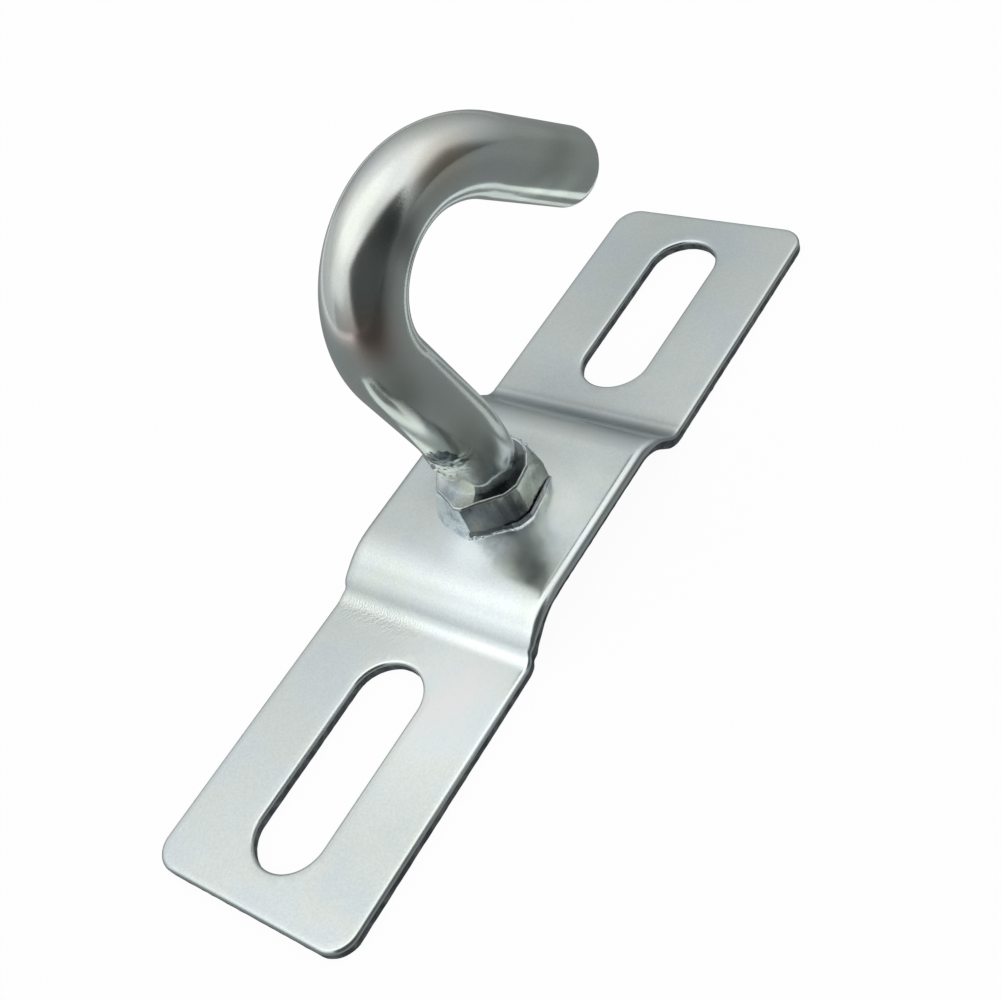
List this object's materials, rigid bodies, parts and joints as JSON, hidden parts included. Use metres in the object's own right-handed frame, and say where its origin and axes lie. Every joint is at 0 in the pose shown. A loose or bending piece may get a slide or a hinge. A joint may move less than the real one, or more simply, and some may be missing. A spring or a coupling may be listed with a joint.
{
  "type": "ceiling hook",
  "caption": "Round bar bent into an open hook, held by a hexagon nut on a pressed strip bracket with a long screw slot in each foot, for hanging things from a ceiling.",
  "frame": {"origin": "middle of the mounting plate, on the plane of its two feet, which lies against the ceiling", "axes": "+X along the plate towards the hook's open side, +Y across the plate, +Z out of the ceiling towards the hook; in use +Z points down"},
  "size_m": [0.12, 0.0314, 0.0563],
  "materials": {
    "plate_zinc": "satin bright zinc on pressed sheet, fine grained",
    "bar_zinc": "glossy bright zinc on drawn bar",
    "nut_zinc": "bright zinc, rough on the flats",
    "weld_zinc": "zinc-coated weld, lumpy"
  },
  "bodies": {
    "root": {"mounting_plate": "plate_zinc", "hook": "bar_zinc", "hex_nut": "nut_zinc", "weld_beads": "weld_zinc"}
  },
  "joints": []
}
